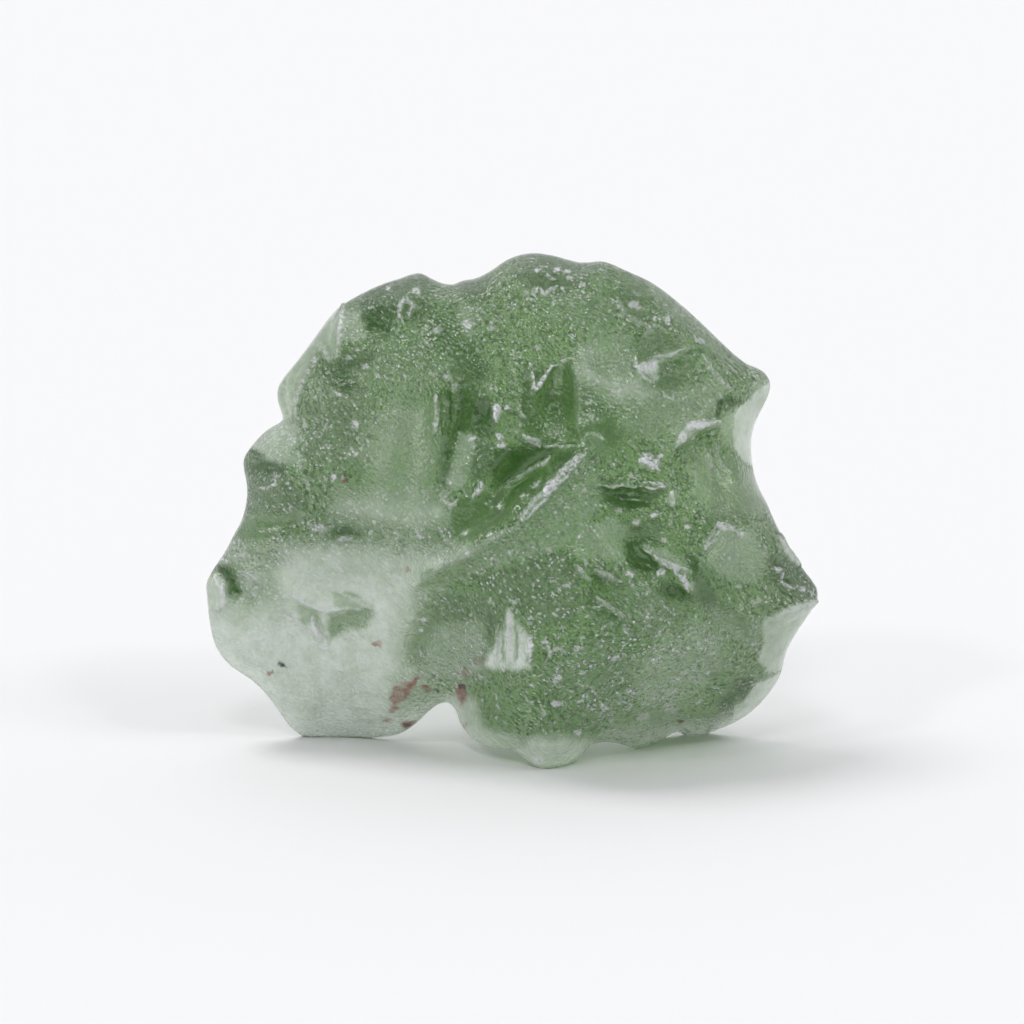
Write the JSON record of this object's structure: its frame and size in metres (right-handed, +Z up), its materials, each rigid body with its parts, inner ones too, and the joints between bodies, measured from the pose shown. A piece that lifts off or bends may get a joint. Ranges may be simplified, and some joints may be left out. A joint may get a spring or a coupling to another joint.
{
  "type": "moldavite",
  "caption": "Natural green glass stone with a lobed outline and an etched, sculpted surface, standing upright on small flat spots.",
  "frame": {"origin": "middle of the stone's box, on the ground it stands on", "axes": "+X to the right along the stone's width as its front face is seen, +Y from the front face to the back face, +Z up"},
  "size_m": [0.03, 0.0139, 0.0248],
  "materials": {
    "green_glass": "etched, satin to clear"
  },
  "bodies": {
    "root": {"moldavite": "green_glass"}
  },
  "joints": []
}
